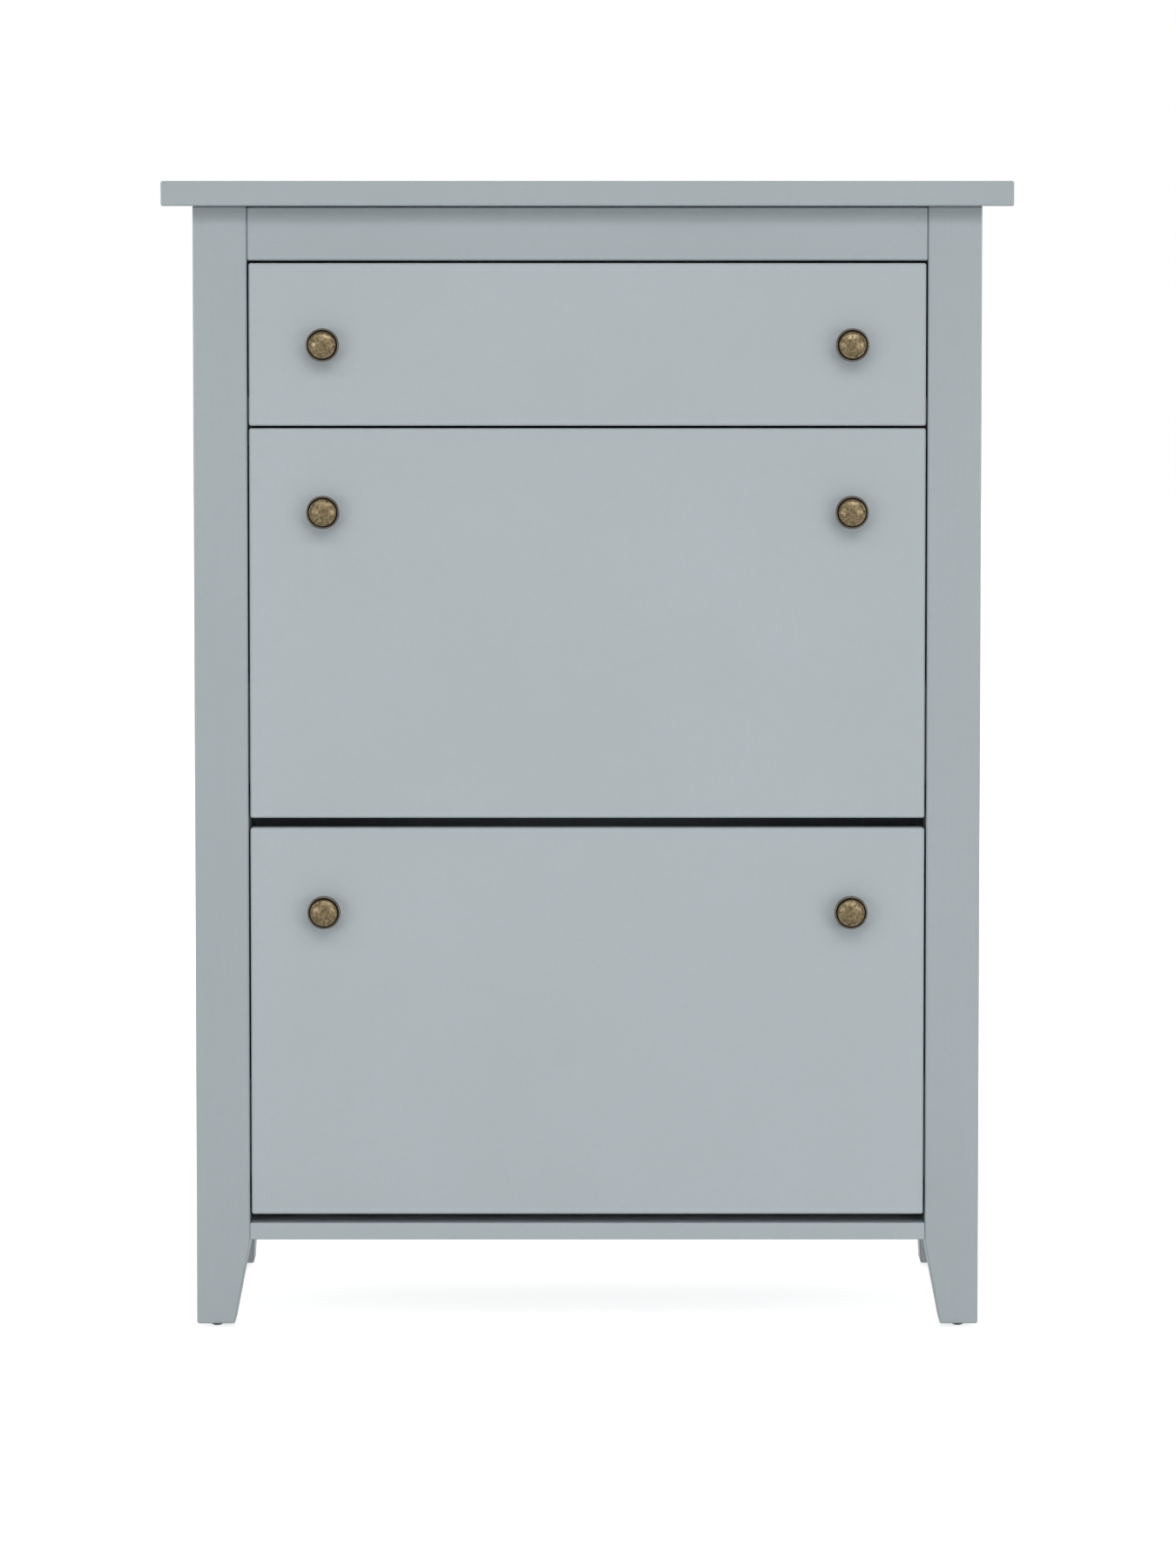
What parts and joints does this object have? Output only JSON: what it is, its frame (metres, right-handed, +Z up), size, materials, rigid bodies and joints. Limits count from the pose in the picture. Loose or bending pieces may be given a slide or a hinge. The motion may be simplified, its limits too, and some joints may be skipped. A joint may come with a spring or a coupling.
{
  "type": "shoe cabinet",
  "caption": "Tall painted shoe cabinet on tapered legs, with an overhanging top, a shallow drawer and tip-out flaps that hold shoes in tiers.",
  "frame": {"origin": "on the floor, under the middle of the bounding box", "axes": "+Z up, front towards -Y, +X to the viewer's right"},
  "size_m": [0.75, 0.344, 1.022],
  "materials": {
    "frame_paint": "satin grey-blue paint on solid wood",
    "panel_paint": "satin grey-blue paint on board",
    "front_paint": "satin grey-blue paint on board",
    "inner_board": "matt grey-blue foil on board",
    "pine_batten": "planed, unpainted",
    "antique_brass": "antique, mottled, satin",
    "runner_enamel": "white enamel on folded steel",
    "nylon": "turned nylon",
    "bracket_steel": "zinc plated",
    "moulded_plastic": "fine moulded texture",
    "glide_plastic": "plain"
  },
  "bodies": {
    "carcass": {"top_panel": "frame_paint", "front_left_leg": "frame_paint", "front_right_leg": "frame_paint", "rear_left_leg": "frame_paint", "rear_right_leg": "frame_paint", "left_side_panel": "panel_paint", "right_side_panel": "panel_paint", "top_rail": "panel_paint", "middle_rail": "panel_paint", "bottom_panel": "panel_paint", "back_panel": "inner_board", "drawer_shelf": "inner_board", "rear_top_rail": "inner_board", "left_runner_batten": "pine_batten", "right_runner_batten": "pine_batten", "left_runner_channel": "runner_enamel", "right_runner_channel": "runner_enamel", "upper_left_pivot_bracket": "bracket_steel", "upper_right_pivot_bracket": "bracket_steel", "lower_left_pivot_bracket": "bracket_steel", "lower_right_pivot_bracket": "bracket_steel", "front_left_glide": "glide_plastic", "front_right_glide": "glide_plastic", "rear_left_glide": "glide_plastic", "rear_right_glide": "glide_plastic"},
    "drawer": {"drawer_front": "front_paint", "drawer_left_side": "inner_board", "drawer_right_side": "inner_board", "drawer_back": "inner_board", "drawer_bottom": "inner_board", "drawer_left_runner": "runner_enamel", "drawer_right_runner": "runner_enamel", "drawer_left_knob": "antique_brass", "drawer_right_knob": "antique_brass"},
    "upper_flap": {"upper_flap_front": "front_paint", "upper_left_knob": "antique_brass", "upper_right_knob": "antique_brass", "upper_left_bin_plate": "moulded_plastic", "upper_right_bin_plate": "moulded_plastic", "upper_bin_floor": "inner_board", "upper_bin_divider": "inner_board", "upper_bin_back": "inner_board", "upper_bin_lip": "inner_board"},
    "lower_flap": {"lower_flap_front": "front_paint", "lower_left_knob": "antique_brass", "lower_right_knob": "antique_brass", "lower_left_bin_plate": "moulded_plastic", "lower_right_bin_plate": "moulded_plastic", "lower_bin_floor": "inner_board", "lower_bin_divider": "inner_board", "lower_bin_back": "inner_board", "lower_bin_lip": "inner_board"},
    "front_left_wheel": {"front_left_roller": "nylon"},
    "front_right_wheel": {"front_right_roller": "nylon"},
    "rear_left_wheel": {"rear_left_roller": "nylon"},
    "rear_right_wheel": {"rear_right_roller": "nylon"}
  },
  "joints": [
    {"name": "drawer_slide", "type": "slide", "parent": "carcass", "child": "drawer", "axis": [0, -1, 0], "range_m": [0, 0.205]},
    {"name": "upper_flap_tilt", "type": "hinge", "parent": "carcass", "child": "upper_flap", "pos_m": [0, -0.1235, 0.4977], "axis": [1, 0, 0], "range_deg": [0, 45]},
    {"name": "lower_flap_tilt", "type": "hinge", "parent": "carcass", "child": "lower_flap", "pos_m": [0, -0.1235, 0.1427], "axis": [1, 0, 0], "range_deg": [0, 45]},
    {"name": "front_left_roller_spin", "type": "hinge", "parent": "carcass", "child": "front_left_wheel", "pos_m": [-0.29475, -0.1165, 0.8181], "axis": [1, 0, 0], "range_deg": [0, 1440]},
    {"name": "front_right_roller_spin", "type": "hinge", "parent": "carcass", "child": "front_right_wheel", "pos_m": [0.29475, -0.1165, 0.8181], "axis": [1, 0, 0], "range_deg": [0, 1440]},
    {"name": "rear_left_roller_spin", "type": "hinge", "parent": "drawer", "child": "rear_left_wheel", "pos_m": [-0.29475, 0.1275, 0.8191], "axis": [1, 0, 0], "range_deg": [0, 1240]},
    {"name": "rear_right_roller_spin", "type": "hinge", "parent": "drawer", "child": "rear_right_wheel", "pos_m": [0.29475, 0.1275, 0.8191], "axis": [1, 0, 0], "range_deg": [0, 1240]}
  ],
  "couplings": [
    {"joint": "front_left_roller_spin", "follows": "drawer_slide", "rad_per_m": 121.95},
    {"joint": "front_right_roller_spin", "follows": "drawer_slide", "rad_per_m": 121.95},
    {"joint": "rear_left_roller_spin", "follows": "drawer_slide", "rad_per_m": 105.26},
    {"joint": "rear_right_roller_spin", "follows": "drawer_slide", "rad_per_m": 105.26}
  ]
}
